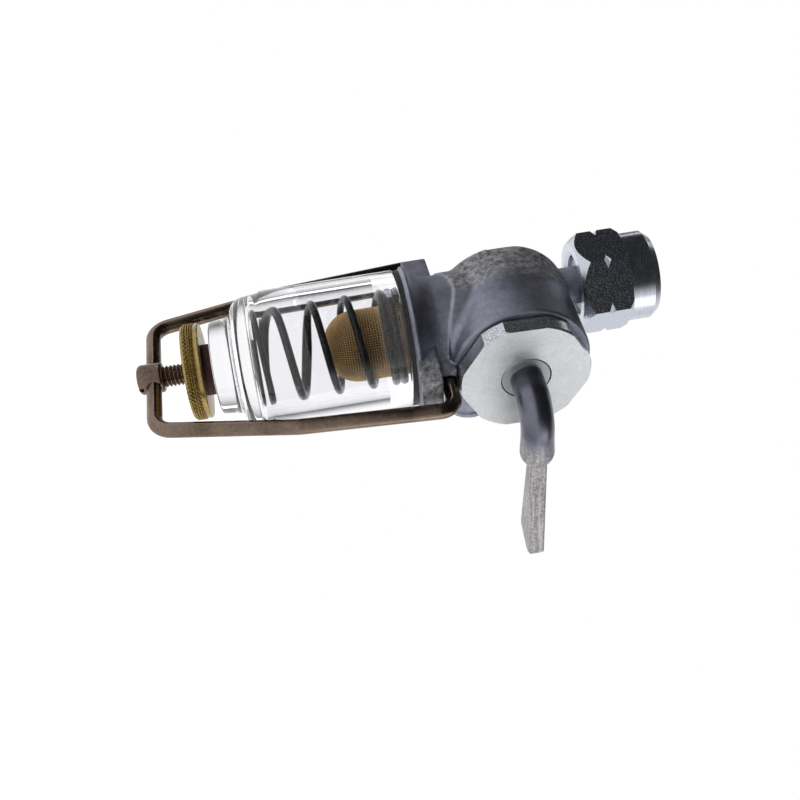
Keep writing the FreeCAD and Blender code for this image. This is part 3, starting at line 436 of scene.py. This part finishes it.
def lathe(name, profile, columns, sharp_angle, closed=False, swell=None):
    """Turn a profile of (radius, height) points; swell changes the radius by angle and row."""
    builder = bmesh.new()
    rows = []
    for index, (radius, height) in enumerate(profile):
        if radius == 0.0:
            rows.append([builder.verts.new(on_axis(0.0, height, 0.0))])
            continue
        row = []
        for column in range(columns):
            angle = 2 * math.pi * column / columns
            extra = swell(angle, height, index) if swell else 0.0
            row.append(builder.verts.new(on_axis(radius + extra, height, angle)))
        rows.append(row)
    pairs = list(zip(rows, rows[1:]))
    if closed:
        pairs.append((rows[-1], rows[0]))
    for low, high in pairs:
        for column in range(columns):
            corners = [low[column % len(low)], low[(column + 1) % len(low)],
                       high[(column + 1) % len(high)], high[column % len(high)]]
            unique = list(dict.fromkeys(corners))
            if len(unique) > 2:
                builder.faces.new(unique)
    return finish_mesh(builder, name, sharp_angle)


def new_piece(name, mesh, shade, body, node):
    """Piece that rides a body and stands for one of its nodes."""
    piece = bpy.data.objects.new(name, mesh)
    bpy.context.scene.collection.objects.link(piece)
    paint(piece, shade)
    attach(piece, body)
    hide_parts(node)
    return piece


def make_glass():
    """Moulded bowl: thick foot, rounded shoulder, straight wall and a fire-polished lip."""
    bottom, floor, rim = -77.7, -67.5, -28.1
    outside, inside = 18.2, 15.0
    foot = [(0.0, bottom), (6.0, bottom), (11.2, bottom)]
    foot += arc(foot[-1], (12.1, bottom + 0.9), 0.9, 1, 6)
    foot += [(12.25, -75.0), (12.45, -73.8), (12.6, -72.6)]
    shoulder = arc(foot[-1], (13.5, -71.8), 1.0, -1, 6) + [(14.1, -71.7)]
    shoulder += arc(shoulder[-1], (17.4, -67.3), 4.4, 1, 14)
    shoulder += [(17.6, -65.6), (17.8, -63.9)]
    wall = [(outside, height) for height in (-63.3, -52.0, -40.0, rim - 0.7)]
    lip = arc(wall[-1], (outside - 0.7, rim), 0.7, 1, 6) + [(inside + 0.6, rim)]
    lip += arc(lip[-1], (inside, rim - 0.6), 0.6, 1, 6)
    bore = [(inside, height) for height in (-40.0, -52.0, floor + 1.6)]
    bore += arc(bore[-1], (inside - 1.6, floor), 1.6, -1, 14)
    bore += [(6.0, floor), (0.0, floor)]
    mesh = lathe("glass_turned", foot + shoulder + wall + lip + bore, 256, 60.0)
    new_piece("glass_bowl_clear", mesh, glass_material(), "tap", "glass_bowl")


def make_knurled_nut():
    """Disc with a diamond-knurled rim and a smooth lip towards the glass."""
    low, high, rim, bore = -84.9, -80.1, 12.7, 3.0
    knurl_low, knurl_high, depth = low + 0.55, high - 1.5, 0.55
    teeth = 64
    pitch = 2 * math.pi * rim / teeth
    steps = 24
    rows = [knurl_low + (knurl_high - knurl_low) * step / steps for step in range(steps + 1)]
    profile = [(bore, low), (6.0, low), (rim - 1.3, low), (rim - 0.6, low + 0.12)]
    first = len(profile)
    profile += [(rim, height) for height in rows]
    profile += [(rim - 0.55, high - 1.42), (rim - 0.55, high - 1.22), (rim - 0.2, high - 1.1),
                (rim - 0.15, high - 0.35), (rim - 0.5, high - 0.05), (6.0, high), (bore, high)]

    def wave(value):
        return abs(2 * (value - math.floor(value)) - 1)

    def knurl(angle, height, index):
        if not first <= index < first + len(rows):
            return 0.0
        along = (height - low) / pitch
        across = angle * teeth / (2 * math.pi)
        groove = min(wave(across + along), wave(across - along))
        end = min(1.0, (index - first) / 2, (first + len(rows) - 1 - index) / 2)
        return -depth + depth * min(1.0, groove * 1.5) * (0.3 + 0.7 * end)

    mesh = lathe("thumb_turned", profile, teeth * 10, 25.0, True, knurl)
    new_piece("thumb_nut_knurled", mesh, olive_brass, "thumb", "thumb_nut")


def carve(piece, low, high):
    """Cut a box between two corners out of a piece, and keep the result as its mesh."""
    builder = bmesh.new()
    bmesh.ops.create_cube(builder, size=1.0)
    bmesh.ops.scale(builder, vec=high - low, verts=builder.verts)
    bmesh.ops.translate(builder, vec=(low + high) / 2, verts=builder.verts)
    cutter = bpy.data.objects.new("cutter", finish_mesh(builder, "cutter", 30.0))
    bpy.context.scene.collection.objects.link(cutter)
    cut = piece.modifiers.new("cut", "BOOLEAN")
    cut.operation = "DIFFERENCE"
    cut.object = cutter
    bpy.context.view_layer.update()
    graph = bpy.context.evaluated_depsgraph_get()
    mesh = bpy.data.meshes.new_from_object(piece.evaluated_get(graph))
    piece.modifiers.clear()
    piece.data = mesh
    bpy.data.objects.remove(cutter)
    mesh.set_sharp_from_angle(angle=math.radians(30.0))


def make_screw():
    """Screw with a cut thread, and a slotted head that the bail's bar goes through."""
    top, tip, crest, depth, pitch = -91.2, -79.4, 2.95, 0.5, 1.0
    steps_per_turn = 10
    steps = int((tip - top) / pitch * steps_per_turn)
    profile = [(0.0, top)]
    profile += [(crest, top + (tip - top) * step / steps) for step in range(steps + 1)]
    profile += [(crest - 1.0, tip), (0.0, tip)]

    def thread(angle, height, index):
        if index == 0 or index > steps + 1:
            return 0.0
        turn = height / pitch - angle / (2 * math.pi)
        cut = abs(2 * (turn - math.floor(turn)) - 1)
        taper = max(0.0, min(1.0, (tip - height) / 0.8))
        return -depth * min(1.0, cut * 1.25) - 0.6 * (1 - taper)

    mesh = lathe("screw_turned", profile, 72, 40.0, False, thread)
    new_piece("bail_screw_thread", mesh, bronze, "bail", "bail_screw")
    end, start, rim = -97.9, -91.1, 4.0
    head = [(0.0, end), (rim - 1.2, end)] + arc((rim - 1.2, end), (rim, end + 1.2), 1.4, 1, 8)
    head += [(rim, end + 3.0), (rim, start - 0.9)]
    head += arc(head[-1], (rim - 0.7, start), 0.9, 1, 6) + [(0.0, start)]
    mesh = lathe("head_turned", head, 96, 35.0)
    piece = new_piece("bail_screw_head", mesh, bronze, "bail", "bail_screw")
    head_end = Vector((0.0, bowl_axis.y, valve_centre.z + end * MM))
    half_slot, half_length, below, deep = 0.6, 6.0, 1.0, 1.5
    carve(piece, head_end - Vector((half_slot, half_length, below)) * MM,
          head_end + Vector((half_slot, half_length, deep)) * MM)


def make_gauze():
    """Sock of woven wire: lengthwise wires and hoops that pass over and under each other, with a
    dark sheet of painted shade just inside.
    """
    outer, bend, end, brim = 9.25, 8.4, -48.75, -28.3
    wire_radius, wire_sides, lift = 0.15, 3, 0.13
    mesh_width = 0.64
    straight = -(end + bend) + brim
    quarter = bend * math.pi / 2
    whole = straight + quarter + 0.5
    wires = 92
    hoops = int(whole / mesh_width)
    builder = bmesh.new()

    def place(along):
        """Radius, height and outward direction at a length along the sock from its brim."""
        if along < straight:
            return outer, brim - along, 1.0, 0.0
        if along < straight + quarter:
            turn = (along - straight) / bend
            return (outer - bend + bend * math.cos(turn), end + bend - bend * math.sin(turn),
                    math.cos(turn), -math.sin(turn))
        return outer - bend - (along - straight - quarter), end, 0.0, -1.0

    def tube(centres, closed):
        """A thin wire through a row of points, each with the surface's normal there."""
        rings = []
        for index, (here, normal) in enumerate(centres):
            after = centres[(index + 1) % len(centres)][0]
            before = centres[index - 1][0]
            if not closed and index in (0, len(centres) - 1):
                before, after = ((here, after) if index == 0 else (before, here))
            ahead = (after - before).normalized()
            aside = ahead.cross(normal).normalized()
            rings.append([builder.verts.new(
                here + (normal * math.cos(turn) + aside * math.sin(turn)) * wire_radius * MM)
                for turn in (2 * math.pi * side / wire_sides for side in range(wire_sides))])
        pairs = list(zip(rings, rings[1:])) + ([(rings[-1], rings[0])] if closed else [])
        for ring, following in pairs:
            for side in range(wire_sides):
                after = (side + 1) % wire_sides
                builder.faces.new((ring[side], ring[after], following[after], following[side]))

    def point(angle, along, offset):
        radius, height, out, down = place(along)
        normal = Vector((math.cos(angle) * out, math.sin(angle) * out, down))
        return on_axis(radius, height, angle) + normal * offset * MM, normal

    for wire in range(wires):
        angle = 2 * math.pi * wire / wires
        last = hoops if wire % 4 == 0 else hoops - 3 if wire % 2 == 0 else hoops - 8
        centres = []
        for step in range(2 * last + 1):
            over = math.cos(math.pi * (step / 2 + wire))
            centres.append(point(angle, whole * step / (2 * hoops), lift * over))
        tube(centres, False)
    for hoop in range(hoops + 1):
        along = whole * hoop / hoops
        centres = []
        for step in range(2 * wires):
            over = -math.cos(math.pi * (step / 2 + hoop))
            centres.append(point(math.pi * step / wires, along, lift * over))
        tube(centres, True)
    mesh = finish_mesh(builder, "gauze_woven", None)
    new_piece("gauze_woven", mesh, gauze_shade, "tap", "strainer_gauze")
    # A dark sheet just inside the weave: painted shade seen through the gaps between the wires.
    inset = 0.3
    steps = 39
    skin = []
    for step in range(steps + 1):
        radius, height, out, down = place(whole * step / steps)
        skin.append((max(radius - inset * out, inset), height - inset * down))
    skin.append((0.0, skin[-1][1]))
    mesh = lathe("painted_shade_sheet_mesh", skin, 80, None)
    new_piece("gauze_painted_shade_sheet", mesh, painted_shade_sheet, "tap", "strainer_gauze")


make_glass()
make_knurled_nut()
make_screw()
make_gauze()


def soften(node, voxel, rounds):
    """Round a cast node's edges a little, as fettling leaves them."""
    remesh = nodes[node].modifiers.new("skin", "REMESH")
    remesh.mode = "VOXEL"
    remesh.voxel_size = voxel
    remesh.use_smooth_shade = True
    smooth = nodes[node].modifiers.new("round", "SMOOTH")
    smooth.factor = 0.5
    smooth.iterations = rounds


def break_edges(node, width):
    """Small bevels on a machined node's sharp edges."""
    bevel = nodes[node].modifiers.new("edges", "BEVEL")
    bevel.width = width
    bevel.segments = 2
    bevel.limit_method = "ANGLE"
    bevel.angle_limit = math.radians(32.0)
    bevel.use_clamp_overlap = True


soften("valve_body", 0.30 * MM, 1)
break_edges("lever", 0.30 * MM)
break_edges("cap_nut", 0.18 * MM)
break_edges("union_nut", 0.18 * MM)


# ---------------------------------------------------------------------------------------------
# Floor, light and world
# ---------------------------------------------------------------------------------------------
FLOOR_RADIUS = 1.6
FLOOR_GAP = 0.03


def make_floor():
    """Plain pale disc a little below the hanging object."""
    mesh = bpy.data.meshes.new("floor")
    builder = bmesh.new()
    bmesh.ops.create_circle(builder, cap_ends=True, segments=96, radius=FLOOR_RADIUS)
    builder.to_mesh(mesh)
    builder.free()
    floor = bpy.data.objects.new("floor", mesh)
    floor.location = (0.0, bowl_axis.y, low_high("bail_screw")[0].z - FLOOR_GAP)
    bpy.context.scene.collection.objects.link(floor)
    shade = Shade("floor_pale")
    grain = shade.noise(shade.where, 30.0, 3.0, 0.5)
    shade.feed("Base Color", shade.mix(grain, (0.88, 0.88, 0.885), (0.90, 0.90, 0.90)))
    shade.set(Roughness=0.9)
    shade.bsdf.inputs["Emission Color"].default_value = (1.0, 1.0, 1.0, 1.0)
    shade.bsdf.inputs["Emission Strength"].default_value = 0.8
    mesh.materials.append(shade.material)


make_floor()


def make_world():
    """White where it is seen; as light, bright from below and behind and dark from above."""
    world = bpy.data.worlds.new("studio")
    bpy.context.scene.world = world
    world.use_nodes = True
    tree = world.node_tree
    tree.nodes.clear()

    def add(kind, **values):
        node = tree.nodes.new(kind)
        for key, value in values.items():
            setattr(node, key, value)
        return node

    coords = add("ShaderNodeTexCoord").outputs["Generated"]

    def along(axis):
        node = add("ShaderNodeVectorMath", operation="DOT_PRODUCT")
        tree.links.new(coords, node.inputs[0])
        node.inputs[1].default_value = axis
        return node.outputs["Value"]

    def spread(source, low, high, to_low, to_high):
        node = add("ShaderNodeMapRange", interpolation_type="SMOOTHSTEP")
        for key, value in (("From Min", low), ("From Max", high), ("To Min", to_low),
                           ("To Max", to_high)):
            node.inputs[key].default_value = value
        tree.links.new(source, node.inputs["Value"])
        return node.outputs["Result"]

    def combine(operation, first, second):
        node = add("ShaderNodeMath", operation=operation)
        tree.links.new(first, node.inputs[0])
        tree.links.new(second, node.inputs[1])
        return node.outputs["Value"]

    # Each spread: the cosines where it starts and where it is full, then both strengths.
    below = spread(along(-view_up), 0.42, 0.85, 0.03, 1.05)
    ahead = spread(along(-view_back), 0.20, 0.60, 0.03, 1.0)
    not_high = spread(along(view_up), 0.25, 0.60, 1.0, 0.05)
    light = combine("MAXIMUM", below, combine("MULTIPLY", ahead, not_high))
    through = spread(along(-view_back), 0.62, 0.93, 0.10, 1.0)
    seen = add("ShaderNodeBackground")
    seen.inputs["Color"].default_value = (1.0, 1.0, 1.0, 1.0)
    seen.inputs["Strength"].default_value = 1.0
    lit = add("ShaderNodeBackground")
    lit.inputs["Color"].default_value = (0.97, 0.98, 1.0, 1.0)
    tree.links.new(light, lit.inputs["Strength"])
    path = add("ShaderNodeLightPath")
    clear = add("ShaderNodeBackground")
    clear.inputs["Color"].default_value = (0.985, 0.985, 1.0, 1.0)
    tree.links.new(through, clear.inputs["Strength"])
    inside = add("ShaderNodeMixShader")
    tree.links.new(path.outputs["Is Transmission Ray"], inside.inputs[0])
    tree.links.new(lit.outputs[0], inside.inputs[1])
    tree.links.new(clear.outputs[0], inside.inputs[2])
    choice = add("ShaderNodeMixShader")
    tree.links.new(path.outputs["Is Camera Ray"], choice.inputs[0])
    tree.links.new(inside.outputs[0], choice.inputs[1])
    tree.links.new(seen.outputs[0], choice.inputs[2])
    output = add("ShaderNodeOutputWorld")
    tree.links.new(choice.outputs[0], output.inputs["Surface"])


make_world()


def soft_light(name, direction, distance, size, power, colour):
    """An area lamp whose long side lies along the picture's width."""
    data = bpy.data.lights.new(name, "AREA")
    data.shape = "RECTANGLE"
    data.size, data.size_y = size
    data.energy = power
    data.color = colour
    lamp = bpy.data.objects.new(name, data)
    bpy.context.scene.collection.objects.link(lamp)
    towards = Vector(direction).normalized()
    side = (view_right - towards * view_right.dot(towards)).normalized()
    turn = Matrix((side, towards.cross(side), towards)).transposed()
    place = valve_centre + towards * distance
    lamp.matrix_world = Matrix.Translation(place) @ turn.to_4x4()


WHITE = (1.0, 1.0, 1.0)
soft_light("key", view_back * 0.12 + view_right * 0.1 - view_up * 0.95,
           0.7, (1.4, 0.4), 1.8, WHITE)
soft_light("cool", view_up * 0.86 - view_right * 0.5,
           0.7, (0.30, 0.22), 1.1, (0.78, 0.76, 1.0))
soft_light("rim", view_up * 0.75 - view_back * 0.65,
           0.8, (1.6, 0.10), 0.8, (0.95, 0.95, 1.0))
soft_light("glint", view_up * 0.65 - view_right * 0.74 - view_back * 0.19,
           0.8, (0.14, 0.14), 0.5, WHITE)

scene = bpy.context.scene
scene.view_settings.view_transform = "Standard"
scene.view_settings.look = "None"
scene.view_settings.exposure = 0.0
scene.cycles.max_bounces = 24
scene.cycles.transmission_bounces = 24
scene.cycles.glossy_bounces = 8
scene.cycles.transparent_max_bounces = 24
